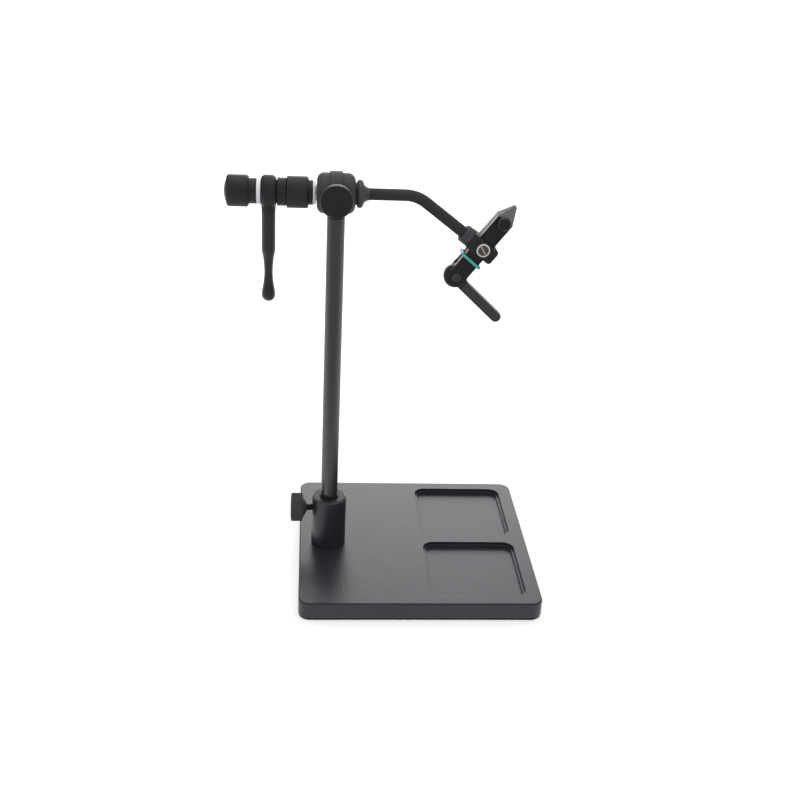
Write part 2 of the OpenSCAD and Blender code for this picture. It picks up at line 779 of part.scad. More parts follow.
// Side view of both jaws: round tail, straight shank and pointed tip
module jaw_outline() {
  union() {
    translate([-jaw_back, pin_z]) circle(r = jaw_half);
    polygon([
      [-jaw_back - jaw_half, pin_z], [-jaw_back + jaw_half, pin_z], [-jaw_back + jaw_half, shoulder_z],
      [-jaw_back + tip_r, tip_z], [-jaw_back - tip_r, tip_z], [-jaw_back - jaw_half, shoulder_z]]);
    translate([-jaw_back, tip_z]) circle(r = tip_r, $fn = 48);
  }
}

// Slab of the jaws' outline between two depths
module jaw_slab(y1, y2) {
  translate([0, y2, 0]) rotate([90, 0, 0]) linear_extrude(y2 - y1) jaw_outline();
}

// Wedge that bevels a jaw of thickness t towards its tip, on its outer side
module tip_bevel(t) {
  run = jaw_up - tip_bevel_start;
  translate([-jaw_back - jaw_w, 0, tip_bevel_start]) rotate([90, 0, 90]) linear_extrude(2 * jaw_w)
    polygon([[t, 0], [t + cut, 0], [t + cut, run + cut], [tip_t - (t - tip_t) * cut / run, run + cut]]);
}

module rear_jaw() {
  color("#3c3d3f") at_jaws() difference() {
    union() {
      jaw_slab(part_gap, rear_jaw_t);
      intersection() {
        jaw_slab(part_gap, rear_tail_t);
        translate([-jaw_w, 0, pin_z - jaw_w])
          cube([2 * jaw_w, 2 * rear_tail_t, cam_pocket_z - pin_z + jaw_w]);
      }
    }
    tip_bevel(rear_jaw_t);
    translate([-jaw_w, part_gap - cut, pin_z - jaw_w])
      cube([2 * jaw_w, ear_y - part_gap + cut, cam_pocket_z - pin_z + jaw_w]);
    y_pin(0, 0, jaw_screw_r + fit, -cut, rear_jaw_t + cut);
    y_pin(-jaw_back, pin_z, pin_r + rock_gap, -cut, rear_tail_t + cut);
    y_pin(-jaw_back, adjust_z, adjust_screw_r + fit, -cut, rear_jaw_t + cut);
  }
}

module front_jaw() {
  color("#3c3d3f") at_jaws() difference() {
    jaw_slab(-front_jaw_t, -part_gap);
    mirror([0, 1, 0]) tip_bevel(front_jaw_t);
    translate([-jaw_w, -jaw_relief, pin_z - jaw_w])
      cube([2 * jaw_w, jaw_relief + cut, relief_top - pin_z + jaw_w]);
    y_pin(0, 0, jaw_screw_r + rock_gap, -front_jaw_t - cut, cut);
    y_pin(-jaw_back, pin_z, pin_r + fit, -front_jaw_t - cut, cut);
    y_pin(-jaw_back, adjust_z, adjust_screw_r + rock_gap, -front_jaw_t - cut, cut);
    y_pin(-jaw_back + dimple_x, pin_z + dimple_z, dimple_r, -front_jaw_t - cut, -front_jaw_t + dimple_r);
  }
}

module jaw_adjust_knob() {
  color("#2f2d30") at_jaws() union() {
    y_turned(-jaw_back, adjust_z, adjust_dia / 2, -front_jaw_t - adjust_seat_gap - adjust_h,
      -front_jaw_t - adjust_seat_gap, adjust_edge, adjust_edge / 2);
    y_pin(-jaw_back, adjust_z, adjust_screw_r, -front_jaw_t - adjust_h, rear_jaw_t - fit);
  }
}

// Stretched rubber ring: four straight runs and four bent corners
module jaw_band() {
  ring_r = band_section / 2;
  half_x = jaw_half + soft_gap + ring_r;
  front_y = -front_jaw_t - soft_gap - ring_r;
  back_y = rear_jaw_t + soft_gap + ring_r;
  mid_y = (front_y + back_y) / 2;
  half_y = (back_y - front_y) / 2;
  color("#3fb8b0") at_jaws() translate([-jaw_back, mid_y, -band_drop]) union() {
    for (sx = [-1, 1])
      translate([sx * half_x, -half_y + band_corner, 0]) rotate([-90, 0, 0])
        cylinder(r = ring_r, h = 2 * (half_y - band_corner), $fn = 48);
    for (sy = [-1, 1])
      translate([-half_x + band_corner, sy * half_y, 0]) rotate([0, 90, 0])
        cylinder(r = ring_r, h = 2 * (half_x - band_corner), $fn = 48);
    for (sx = [-1, 1], sy = [-1, 1])
      translate([sx * (half_x - band_corner), sy * (half_y - band_corner), 0])
        rotate([0, 0, sx > 0 ? (sy > 0 ? 0 : -90) : (sy > 0 ? 90 : 180)]) rotate_extrude(angle = 90)
          translate([band_corner, 0]) circle(r = ring_r, $fn = 48);
  }
}

// Bevel along one face of the cam lever's arm, upwards from z
module cam_bevel(z) {
  straight = cam_reach - cam_w / 2 - cam_arm_start;
  translate([0, 0, z]) union() {
    translate([cam_arm_start + straight / 2, 0, 0]) rotate([0, 0, 90])
      bevel_prism(cam_w, straight, cam_edge);
    translate([cam_reach - cam_w / 2, 0, 0])
      cylinder(r1 = cam_w / 2, r2 = cam_w / 2 - cam_edge, h = cam_edge);
  }
}

// Arm of the cam lever lying flat: a strip with a round end and bevelled edges
module cam_arm() {
  union() {
    translate([cam_arm_start, -cam_w / 2, cam_edge])
      cube([cam_reach - cam_w / 2 - cam_arm_start, cam_w, cam_t - 2 * cam_edge]);
    translate([cam_reach - cam_w / 2, 0, cam_edge]) cylinder(r = cam_w / 2, h = cam_t - 2 * cam_edge);
    cam_bevel(cam_t - cam_edge);
    mirror([0, 0, 1]) cam_bevel(-cam_edge);
  }
}

module cam_lever() {
  color("#434446") at_jaws() translate([-jaw_back, 0, pin_z]) rotate([0, cam_angle, 0]) difference() {
    union() {
      y_pin(0, 0, cam_r, cam_front_y, cam_back_y);
      translate([0, cam_front_y, -cam_w / 2 - cam_drop])
        cube([cam_arm_start + cam_edge, cam_hub_t, cam_w]);
      translate([0, cam_arm_y + cam_t, -cam_drop]) rotate([90, 0, 0]) cam_arm();
    }
    y_pin(0, 0, pin_r + fit, cam_arm_y - cut, cam_arm_y + cam_t + cut);
  }
}

module cam_pin() {
  color("#77787c") at_jaws() union() {
    y_turned(-jaw_back, pin_z, pin_head_r, -front_jaw_t - fit - pin_head_h, -front_jaw_t - fit,
      pin_head_h / 2, 0);
    y_pin(-jaw_back, pin_z, pin_r, -front_jaw_t - pin_head_h, rear_jaw_t);
  }
}

base_pad();
base_plate();
stem_holder();
holder_screw();
stem_sleeve();
stem_lock_knob();
stem_lock_screw();
stem();
housing();
rear_bushing();
front_bushing();
tilt_lock_knob();
tilt_lock_stud();
rotary_arm();
arm_collar();
front_thrust_washer();
nylon_thrust_washer();
steel_thrust_washer();
drag_knob();
stop_collar();
collar_set_screw();
crank_hub();
crank_lever();
crank_washer();
end_knob();
jaw_block();
block_set_screw();
jaw_screw();
jaw_screw_ring();
rear_jaw();
front_jaw();
jaw_adjust_knob();
jaw_band();
cam_lever();
cam_pin();
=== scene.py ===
import json
import math
import random
import bpy
from mathutils import Matrix, Vector

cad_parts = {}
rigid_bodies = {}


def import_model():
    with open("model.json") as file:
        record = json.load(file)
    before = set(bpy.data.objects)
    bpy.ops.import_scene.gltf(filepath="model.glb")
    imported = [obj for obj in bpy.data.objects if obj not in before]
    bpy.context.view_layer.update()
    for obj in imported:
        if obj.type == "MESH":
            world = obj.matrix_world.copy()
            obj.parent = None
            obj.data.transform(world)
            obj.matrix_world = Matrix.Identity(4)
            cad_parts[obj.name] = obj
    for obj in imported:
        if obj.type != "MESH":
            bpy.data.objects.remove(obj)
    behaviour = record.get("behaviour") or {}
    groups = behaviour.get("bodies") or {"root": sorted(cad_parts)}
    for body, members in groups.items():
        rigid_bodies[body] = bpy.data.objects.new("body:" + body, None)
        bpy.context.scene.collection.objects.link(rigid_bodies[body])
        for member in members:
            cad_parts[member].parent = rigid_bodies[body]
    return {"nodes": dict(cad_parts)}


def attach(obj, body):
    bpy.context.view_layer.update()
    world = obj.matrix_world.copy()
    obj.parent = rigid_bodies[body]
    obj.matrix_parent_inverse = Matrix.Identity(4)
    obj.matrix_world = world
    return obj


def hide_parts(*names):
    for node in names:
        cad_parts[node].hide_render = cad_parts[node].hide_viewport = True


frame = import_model()
for leftover in list(bpy.data.objects):
    if leftover.name in ("Cube", "Light", "Camera"):
        bpy.data.objects.remove(leftover)
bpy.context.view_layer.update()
cad = frame["nodes"]

mm = 0.001
noiseLow, noiseHigh = 0.3, 0.7  # most values of a noise texture lie between these
softNoise = {"Detail": 3, "Roughness": 0.6}   # drifting patches and scratches
fineNoise = {"Detail": 2, "Roughness": 0.55}  # even grain
plainNoise = {"Detail": 3, "Roughness": 0.5}  # mottle
bevelSamples = 6
layout = {  # places of the main axes, in millimetres
    "stemX": -51, "stemY": -2.6,        # stem and its holder
    "headY": 9.9, "axisZ": 218.9,       # rotary axis, along X
    "lockX": -64, "lockZ": 33.5,        # inner face of the stem lock knob
    "crankX": -86.85,                   # crank lever's own axis
    "jawX": 29.6366, "jawZ": 190.9156,  # jaw screw
    "jawTurn": 37,                      # degrees, the arm's and the jaws' slope
}


def place(x, y, z):
    return Vector((x * mm, y * mm, z * mm))


def linear(hexColour):
    # sRGB hex to the linear colour that the shaders want
    parts = [int(hexColour[i:i + 2], 16) / 255 for i in (1, 3, 5)]
    return [p / 12.92 if p <= 0.04045 else ((p + 0.055) / 1.055) ** 2.4 for p in parts] + [1]


def add(tree, kind, inputs=None, **settings):
    # one node, with its settings, its plain values and its links
    node = tree.nodes.new(kind)
    for name, value in settings.items():
        setattr(node, name, value)
    for socket, value in (inputs or {}).items():
        if isinstance(value, bpy.types.NodeSocket):
            tree.links.new(value, node.inputs[socket])
        else:
            node.inputs[socket].default_value = value
    return node


def newFinish(name, values):
    material = bpy.data.materials.new(name)
    material.use_nodes = True
    tree = material.node_tree
    tree.nodes.clear()
    shader = add(tree, "ShaderNodeBsdfPrincipled", values)
    add(tree, "ShaderNodeOutputMaterial", {"Surface": shader.outputs["BSDF"]})
    return material, tree, shader


def setGloss(tree, shader, pattern, span):
    # the roughness follows a pattern between two values
    gloss = add(tree, "ShaderNodeMapRange", {
        "Value": pattern, "From Min": noiseLow, "From Max": noiseHigh,
        "To Min": span[0], "To Max": span[1]})
    tree.links.new(gloss.outputs["Result"], shader.inputs["Roughness"])


def setRelief(tree, shader, height, relief, normal):
    # fine relief, as strength and depth in millimetres, on top of a normal
    bump = add(tree, "ShaderNodeBump", {
        "Height": height, "Strength": relief[0], "Distance": relief[1] * mm, "Normal": normal})
    tree.links.new(bump.outputs["Normal"], shader.inputs["Normal"])


def drift(tree, pattern, look):
    # a colour that drifts between two tones
    colour = add(tree, "ShaderNodeMix", {
        "Factor": pattern, 6: linear(look["dark"]), 7: linear(look["pale"])}, data_type="RGBA")
    return colour.outputs[2]


def loft(rings, ends=None):
    # skins rings of points one after the other; two end points close it, else it runs in a circle
    around, count = len(rings[0]), len(rings)
    points = [point for ring in rings for point in ring] + list(ends or [])
    faces = []
    for ring in range(count - 1 if ends else count):
        low, high = ring * around, (ring + 1) % count * around
        for i in range(around):
            j = (i + 1) % around
            faces.append((low + i, low + j, high + j, high + i))
    if ends:
        last = (count - 1) * around
        for i in range(around):
            j = (i + 1) % around
            faces.append((j, i, len(points) - 2))
            faces.append((last + i, last + j, len(points) - 1))
    return points, faces


def meshPiece(name, points, faces, material, smoothAngle=35):
    mesh = bpy.data.meshes.new(name)
    mesh.from_pydata([tuple(p) for p in points], [], faces)
    mesh.validate()
    mesh.materials.append(material)
    piece = bpy.data.objects.new(name, mesh)
    bpy.context.scene.collection.objects.link(piece)
    mesh.shade_smooth()
    mesh.set_sharp_from_angle(angle=math.radians(smoothAngle))
    return piece


def finishPiece(piece, body, slotName, *standsFor):
    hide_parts(*standsFor)
    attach(piece, body)
    return piece


edgeTurn = (0.985, 0.8)  # how far the rounded normal leans where wear starts, and where it is full


def blackMetal(name, look):
    # a black surface over metal: colour drifts in soft patches, grain breaks up the gloss,
    # edges rub lighter, on the jaws partly as painted highlight, and turned parts keep faint tool
    # rings
    material, tree, shader = newFinish(name, {
        "IOR": look["ior"], "Specular Tint": look.get("glossTint", (1, 1, 1, 1))})
    at = add(tree, "ShaderNodeTexCoord").outputs["Object"]
    patch = add(tree, "ShaderNodeTexNoise", dict(
        softNoise, Vector=at, Scale=1 / (look["patchSize"] * mm)))
    grain = add(tree, "ShaderNodeTexNoise", dict(
        fineNoise, Vector=at, Scale=1 / (look["grainSize"] * mm)))
    tone = add(tree, "ShaderNodeMapRange", {
        "Value": patch.outputs["Fac"], "From Min": noiseLow, "From Max": noiseHigh})
    colour = drift(tree, tone.outputs["Result"], look)
    rounded = add(tree, "ShaderNodeBevel", {
        "Radius": look["edgeRadius"] * mm}, samples=bevelSamples)
    facing = add(tree, "ShaderNodeNewGeometry").outputs["Normal"]
    turned = add(tree, "ShaderNodeVectorMath", {
        0: rounded.outputs["Normal"], 1: facing}, operation="DOT_PRODUCT")
    rub = add(tree, "ShaderNodeMapRange", {
        "Value": turned.outputs["Value"], "From Min": edgeTurn[0], "From Max": edgeTurn[1],
        "To Min": 0, "To Max": look["edgeWear"]})
    worn = add(tree, "ShaderNodeMath", {
        0: rub.outputs["Result"], 1: grain.outputs["Fac"]}, operation="MULTIPLY")
    edged = add(tree, "ShaderNodeMix", {
        "Factor": worn.outputs["Value"], 6: colour, 7: linear(look["worn"])}, data_type="RGBA")
    tree.links.new(edged.outputs[2], shader.inputs["Base Color"])
    setGloss(tree, shader, grain.outputs["Fac"], look["roughness"])
    height = grain.outputs["Fac"]
    if "rings" in look:
        height = toolRings(tree, at, height, look["rings"])
    setRelief(tree, shader, height, look["relief"], rounded.outputs["Normal"])
    return material


def toolRings(tree, at, height, rings):
    # rings run round a turned bar and across its end faces: the wave follows length plus radius
    centre = [rings["centre"][i] * mm for i in range(3)]
    local = add(tree, "ShaderNodeVectorMath", {0: at, 1: centre}, operation="SUBTRACT")
    split = add(tree, "ShaderNodeSeparateXYZ", {"Vector": local.outputs["Vector"]})
    others = [axis for axis in "XYZ" if axis != rings["axis"]]
    flat = add(tree, "ShaderNodeCombineXYZ", {
        "X": split.outputs[others[0]], "Y": split.outputs[others[1]]})
    radius = add(tree, "ShaderNodeVectorMath", {0: flat.outputs["Vector"]}, operation="LENGTH")
    path = add(tree, "ShaderNodeMath", {
        0: split.outputs[rings["axis"]], 1: radius.outputs["Value"]}, operation="ADD")
    turn = add(tree, "ShaderNodeMath", {
        0: path.outputs["Value"], 1: 2 * math.pi / (rings["pitch"] * mm)}, operation="MULTIPLY")
    wave = add(tree, "ShaderNodeMath", {0: turn.outputs["Value"]}, operation="SINE")
    mixed = add(tree, "ShaderNodeMath", {
        0: wave.outputs["Value"], 1: rings["share"], 2: height}, operation="MULTIPLY_ADD")
    return mixed.outputs["Value"]


# Powder coat: sprayed and baked paint. It is satin, with fine orange peel, and turns a little
# greyer where light grazes it.
powderCoatLook = {
    "dark": "#242328", "pale": "#29282d", "worn": "#6a6a6c", "roughness": (0.30, 0.38), "ior": 1.52,
    "glossTint": (0.93, 0.92, 1, 1),
    "patchSize": 24, "grainSize": 1,  # orange peel, drawn a little coarser than real
    "edgeRadius": 0.35, "edgeWear": 0.15, "relief": (1, 0.09),
}
powderCoat = blackMetal("powderCoat", powderCoatLook)

# Black oxide on turned and bead-blasted steel: thin, even and satin, with a faint grain.
blackOxideLook = {
    "dark": "#1b1b1c", "pale": "#212122", "worn": "#4c4c4e", "roughness": (0.38, 0.48), "ior": 1.42,
    "patchSize": 9, "grainSize": 0.35, "edgeRadius": 0.15, "edgeWear": 0.35,
    "relief": (0.25, 0.02),
}


def blackOxide(name, axis=None, centre=(0, 0, 0), pitch=0.5, share=0.35, **changes):
    look = dict(blackOxideLook, **changes)
    if axis:
        look["rings"] = {"axis": axis, "centre": centre, "pitch": pitch, "share": share}
    return blackMetal(name, look)


headCentre = (0, layout["headY"], layout["axisZ"])
stemCentre = (layout["stemX"], layout["stemY"], 0)
plainOxide = blackOxide("blackOxideBlasted", dark="#202021", pale="#272728")
armOxide = blackOxide("blackOxideArm", dark="#323233", pale="#383839", roughness=(0.6, 0.7),
                      ior=1.33)
housingOxide = blackOxide("blackOxideHousing", "X", headCentre, dark="#3c3c3c", pale="#444444",
                          roughness=(0.48, 0.58), ior=1.34)
turnedOxide = blackOxide("blackOxideTurned", "X", headCentre, dark="#262527", pale="#2e2d30",
                         roughness=(0.46, 0.56), ior=1.38)
collarOxide = blackOxide("blackOxideCollar", "X", headCentre, dark="#454547", pale="#4d4d4f",
                         roughness=(0.5, 0.6), ior=1.38)
# the stem and the crank lever were polished before blackening, so they shine at their edges
stemOxide = blackOxide("blackOxideStem", "Z", stemCentre, pitch=0.8, share=0.15, dark="#151516",
                       pale="#1b1b1c", roughness=(0.3, 0.38), ior=1.85)
leverOxide = blackOxide("blackOxideCrank", "Z", (layout["crankX"], layout["headY"], 0), pitch=0.8,
                        share=0.15, dark="#1b1b1c", pale="#212122", roughness=(0.36, 0.44), ior=1.6)
tiltOxide = blackOxide("blackOxideTiltKnob", "Y", (layout["stemX"], 0, layout["axisZ"]),
                       dark="#201f22", pale="#272629", roughness=(0.5, 0.6), ior=1.38)
lockOxide = blackOxide("blackOxideLockKnob", "X", (0, layout["stemY"], layout["lockZ"]),
                       dark="#3f3f40", pale="#484849")
camOxide = blackOxide("blackOxideCam", dark="#383738", pale="#3e3d3e")
socketOxide = blackOxide("blackOxideSocket", dark="#444247", pale="#4a484d", roughness=(0.45, 0.55))
# the jaws' pale, strong edge wear is partly real wear and partly painted highlight along their
# outlines
jawOxide = blackOxide("blackOxideJaws", dark="#1f1c1b", pale="#262322", worn="#8a8a8a",
                      edgeWear=0.5, ior=1.36)
screwOxide = blackOxide("blackOxideScrews", dark="#161617", pale="#1c1c1e", roughness=(0.3, 0.4))
# turned rims, smoother than the faces, so their upper halves catch the light
rimOxide = blackOxide("blackOxideRims", dark="#2c2c2e", pale="#323234", roughness=(0.4, 0.48),
                      ior=1.75)
# the post's top edge, where the coat lies thinner and glossier, and its matter top face
coatRim = blackMetal("powderCoatRim", dict(powderCoatLook, roughness=(0.24, 0.32), ior=1.8))
coatTop = blackMetal("powderCoatTop", dict(powderCoatLook, roughness=(0.42, 0.5), ior=1.4))


brightSteel = {  # bare steel: radius of its edges, and strength and depth of its relief
    "edgeRadius": 0.1, "scratchRelief": (0.3, 0.02), "ringRelief": (0.1, 0.02), "ringShare": 0.5,
}


def groundSteelAndHighlight(name, look):
    # light steel with fine straight scratches, bright and soft: ground steel, and painted highlight
    # on black parts
    material, tree, shader = newFinish(name, {"Metallic": 1, "Base Color": linear(look["colour"])})
    at = add(tree, "ShaderNodeTexCoord").outputs["Object"]
    turned = add(tree, "ShaderNodeMapping", {
        "Vector": at, "Rotation": (0, math.radians(-layout["jawTurn"]), 0),
        "Scale": (1 / (look["scratchWidth"] * mm), 1 / (look["scratchWidth"] * mm),
                  1 / (look["scratchLength"] * mm))})
    scratch = add(tree, "ShaderNodeTexNoise", dict(
        softNoise, Vector=turned.outputs["Vector"], Scale=1))
    setGloss(tree, shader, scratch.outputs["Fac"], look["roughness"])
    rounded = add(tree, "ShaderNodeBevel", {
        "Radius": brightSteel["edgeRadius"] * mm}, samples=bevelSamples)
    setRelief(tree, shader, scratch.outputs["Fac"], brightSteel["scratchRelief"],
              rounded.outputs["Normal"])
    return material


# painted highlight: the bright steel strips down the jaws' sides stand in for the light their black
# edges catch
jawSideHighlight = groundSteelAndHighlight("paintedJawSideHighlight", {
    "colour": "#b4b3b0", "scratchWidth": 0.12, "scratchLength": 4, "roughness": (0.26, 0.40)})
greyTip = groundSteelAndHighlight("groundSteelGrey", {
    "colour": "#a3a2a2", "scratchWidth": 0.15, "scratchLength": 3, "roughness": (0.42, 0.55)})
# rubbed steel, made pale enough to serve also as painted highlight on the cam pin's rim
rubbedEdgeAndHighlight = groundSteelAndHighlight("rubbedSteelRimHighlight", {
    "colour": "#8b8b8c", "scratchWidth": 0.2, "scratchLength": 1, "roughness": (0.3, 0.42)})
# painted highlight: light steel colour for the cam lever's upper side, where the light falls
leverHighlight = groundSteelAndHighlight("paintedLeverHighlight", {
    "colour": "#b9b8b6", "scratchWidth": 0.2, "scratchLength": 2, "roughness": (0.4, 0.55)})


def turnedBright(name, look, axis, centre):
    # polished turned steel: faint rings, clean reflections
    material, tree, shader = newFinish(name, {"Metallic": look.get("metal", 1)})
    at = add(tree, "ShaderNodeTexCoord").outputs["Object"]
    grain = add(tree, "ShaderNodeTexNoise", dict(
        plainNoise, Vector=at, Scale=1 / (look["grainSize"] * mm)))
    tree.links.new(drift(tree, grain.outputs["Fac"], look), shader.inputs["Base Color"])
    setGloss(tree, shader, grain.outputs["Fac"], look["roughness"])
    height = toolRings(tree, at, grain.outputs["Fac"], {
        "axis": axis, "centre": centre, "pitch": look["pitch"], "share": brightSteel["ringShare"]})
    rounded = add(tree, "ShaderNodeBevel", {
        "Radius": brightSteel["edgeRadius"] * mm}, samples=bevelSamples)
    setRelief(tree, shader, height, brightSteel["ringRelief"], rounded.outputs["Normal"])
    return material


jawScrewCentre = (layout["jawX"], layout["headY"], layout["jawZ"])
ringSteel = turnedBright("polishedSteel", {
    "dark": "#e4e4e2", "pale": "#f2f1ee", "grainSize": 0.5, "pitch": 0.3,
    "metal": 0.5,  # half white diffuse: painted reflection, so the ring reads as bright as polished steel in light
    "roughness": (0.24, 0.34)}, "Y", jawScrewCentre)
screwSteel = turnedBright("brownedSteel", {
    "dark": "#5b524c", "pale": "#7d726a", "grainSize": 0.4, "pitch": 0.3,
    "roughness": (0.3, 0.42)}, "Y", jawScrewCentre)
washerSteel = turnedBright("turnedSteel", {
    "dark": "#b9babb", "pale": "#cfd0d1", "grainSize": 0.5, "pitch": 0.3,
    "roughness": (0.24, 0.34)}, "X", headCentre)


plasticSkin = {"edgeRadius": 0.12, "relief": (0.15, 0.02)}


def mouldedPlastic(name, look):
    # nylon and rubber: soft gloss, a hint of mottle, very fine skin
    material, tree, shader = newFinish(name, {"IOR": look["ior"]})
    at = add(tree, "ShaderNodeTexCoord").outputs["Object"]
    mottle = add(tree, "ShaderNodeTexNoise", dict(
        plainNoise, Vector=at, Scale=1 / (look["mottleSize"] * mm)))
    tree.links.new(drift(tree, mottle.outputs["Fac"], look), shader.inputs["Base Color"])
    setGloss(tree, shader, mottle.outputs["Fac"], look["roughness"])
    rounded = add(tree, "ShaderNodeBevel", {
        "Radius": plasticSkin["edgeRadius"] * mm}, samples=bevelSamples)
    setRelief(tree, shader, mottle.outputs["Fac"], plasticSkin["relief"], rounded.outputs["Normal"])
    return material


whiteNylon = mouldedPlastic("nylonWhite", {
    "dark": "#e4e9f0", "pale": "#f3f6fa", "roughness": (0.35, 0.5), "ior": 1.53, "mottleSize": 1.2})
blackNylon = mouldedPlastic("nylonBlack", {
    "dark": "#151516", "pale": "#1c1c1e", "roughness": (0.35, 0.5), "ior": 1.53, "mottleSize": 1.2})
tealRubber = mouldedPlastic("rubberTeal", {
    "dark": "#3ca8a2", "pale": "#4fbab4", "roughness": (0.3, 0.42), "ior": 1.52, "mottleSize": 0.8})


def closedCellFoam(name, look):
    # cut foam sheet: matt black, torn open cells along its edge
    material, tree, shader = newFinish(name, {"IOR": look["ior"]})
    at = add(tree, "ShaderNodeTexCoord").outputs["Object"]
    cells = add(tree, "ShaderNodeTexVoronoi", {
        "Vector": at, "Scale": 1 / (look["cellSize"] * mm)}, feature="F1")
    tree.links.new(drift(tree, cells.outputs["Distance"], look), shader.inputs["Base Color"])
    matt = add(tree, "ShaderNodeMapRange", {
        "Value": cells.outputs["Distance"],
        "To Min": look["roughness"][0], "To Max": look["roughness"][1]})
    tree.links.new(matt.outputs["Result"], shader.inputs["Roughness"])
    bump = add(tree, "ShaderNodeBump", {
        "Height": cells.outputs["Distance"], "Strength": look["relief"][0],
        "Distance": look["relief"][1] * mm})
    tree.links.new(bump.outputs["Normal"], shader.inputs["Normal"])
    return material


blackFoam = closedCellFoam("foamBlack", {
    "dark": "#0b0b0c", "pale": "#1c1c1e", "cellSize": 0.7, "roughness": (0.8, 0.98), "ior": 1.4,
    "relief": (0.9, 0.25)})
print("materials made:", len(bpy.data.materials))

finishes = {
    "base_plate": powderCoat, "stem_holder": powderCoat, "holder_screw": screwOxide,
    "stem_sleeve": blackNylon, "stem": stemOxide,
    "housing": housingOxide, "rear_bushing": washerSteel, "front_bushing": washerSteel,
    "tilt_lock_knob": tiltOxide, "tilt_lock_stud": screwOxide,
    "rotary_arm": armOxide, "arm_collar": collarOxide, "front_thrust_washer": blackNylon,
    "nylon_thrust_washer": whiteNylon, "steel_thrust_washer": washerSteel,
    "drag_knob": turnedOxide, "stop_collar": turnedOxide, "collar_set_screw": screwOxide,
    "crank_hub": turnedOxide, "crank_washer": whiteNylon, "end_knob": turnedOxide,
    "jaw_block": plainOxide, "block_set_screw": screwOxide,
    "jaw_screw": screwSteel, "jaw_screw_ring": ringSteel,
    "rear_jaw": jawOxide, "front_jaw": jawOxide, "jaw_adjust_knob": jawOxide,
    "cam_lever": camOxide, "cam_pin": camOxide,
}
for name, material in finishes.items():
    cad[name].data.materials.clear()
    cad[name].data.materials.append(material)


# the jaws' own frame: along the block and up the jaws
jawTurn = math.radians(layout["jawTurn"])
alongBlock = Vector((math.cos(jawTurn), 0, -math.sin(jawTurn)))
upJaws = Vector((math.sin(jawTurn), 0, math.cos(jawTurn)))
jawOrigin = place(*jawScrewCentre)


def dressFaces(name, material, chosen):
    # gives one more finish to the faces of a CAD node that chosen picks
    mesh = cad[name].data
    mesh.materials.append(material)
    for face in mesh.polygons:
        if chosen(face):
            face.material_index = len(mesh.materials) - 1


highlightAndGroundFaces = {  # heights up the jaws in millimetres, and how much a face leans towards the front
    "front_jaw": {"edgeFrom": -21, "tipFrom": 19.6},
    "rear_jaw": {"edgeFrom": 0, "tipFrom": 19.6},
    "flat": 0.995, "wall": 0.5, "side": 0.9,
}
for name in ("front_jaw", "rear_jaw"):
    reach = highlightAndGroundFaces[name]
    # painted highlight down the sides of both jaws, from edgeFrom up to the tip
    dressFaces(name, jawSideHighlight, lambda face: (
        abs(face.normal.dot(alongBlock)) > highlightAndGroundFaces["side"]
        and reach["edgeFrom"] < (face.center - jawOrigin).dot(upJaws) / mm < reach["tipFrom"]))
    dressFaces(name, greyTip, lambda face: (
        highlightAndGroundFaces["wall"] < abs(face.normal.y) < highlightAndGroundFaces["flat"]
        and (face.center - jawOrigin).dot(upJaws) / mm > reach["tipFrom"]))

rims = {"leanFrom": 0.3, "leanTo": 0.95, "socketEnd": -8.8, "leverFrom": 9, "leverSide": 0.6,
        "leverDown": 6, "slotFrom": 0.2, "slotTo": 0.6}  # leans, millimetres and degrees
dressFaces("tilt_lock_knob", rimOxide, lambda face: abs(face.normal.y) < rims["leanTo"])
dressFaces("jaw_adjust_knob", rimOxide, lambda face: abs(face.normal.y) < rims["leanTo"])
# the cam pin's rim: rubbed steel and painted highlight
dressFaces("cam_pin", rubbedEdgeAndHighlight, lambda face: (
    rims["leanFrom"] < abs(face.normal.y) < rims["leanTo"]))
dressFaces("stem_holder", coatTop, lambda face: face.normal.z >= rims["leanTo"])
dressFaces("stem_holder", coatRim, lambda face: rims["leanFrom"] < face.normal.z < rims["leanTo"])
dressFaces("jaw_block", socketOxide, lambda face: (
    (face.center - jawOrigin).dot(alongBlock) < rims["socketEnd"] * mm))
# painted highlight on the cam lever's upper side, which faces the light
leverTurn = math.radians(layout["jawTurn"] + rims["leverDown"])
upLever = Vector((math.sin(leverTurn), 0, math.cos(leverTurn)))
dressFaces("cam_lever", leverHighlight, lambda face: (
    face.normal.dot(upLever) > rims["leverSide"]
    and (face.center - jawOrigin).dot(alongBlock) > rims["leverFrom"] * mm))
# the jaw screw's slot shows clean metal
headFront = min(vertex.co.y for vertex in cad["jaw_screw"].data.vertices)
dressFaces("jaw_screw", washerSteel, lambda face: (
    face.normal.y < -rims["leanTo"]
    and rims["slotFrom"] * mm < face.center.y - headFront < rims["slotTo"] * mm))
print("CAD nodes dressed:", len(finishes))


padLook = {
    "width": 135.4, "depth": 137.4, "corner": 6.05, "height": 1.5,  # millimetres
    "step": 0.9,      # spacing of the points round the edge
    "ragged": 0.16,   # how far the cut edge wanders
    "cutBack": 0.6, "follow": 0.6, "loose": 0.3,  # shares of it: on average, shared and loose
    "cornerSteps": 10, "seed": 11, "sharpFrom": 60,
    "bulge": [(0.0, -0.3), (0.25, -0.05), (0.75, 0), (1.2, -0.04), (1.5, -0.2)],
}


def roundedLine(halfX, halfY, corner, steps, middleY=0):
    # closed rectangle with round corners
    line = []
    for quarter, (signX, signY) in enumerate(((1, 1), (-1, 1), (-1, -1), (1, -1))):
        for step in range(steps + 1):
            angle = math.radians(90 * quarter + 90 * step / steps)
            line.append(Vector((signX * (halfX - corner) + corner * math.cos(angle),
                                middleY + signY * (halfY - corner) + corner * math.sin(angle), 0)))
    return line


def evenly(points, step):
    # the same closed line again, with points about one step apart
    spaced = []
    for start, end in zip(points, points[1:] + points[:1]):
        count = max(1, round((end - start).length / step))
        spaced += [start.lerp(end, i / count) for i in range(count)]
    return spaced


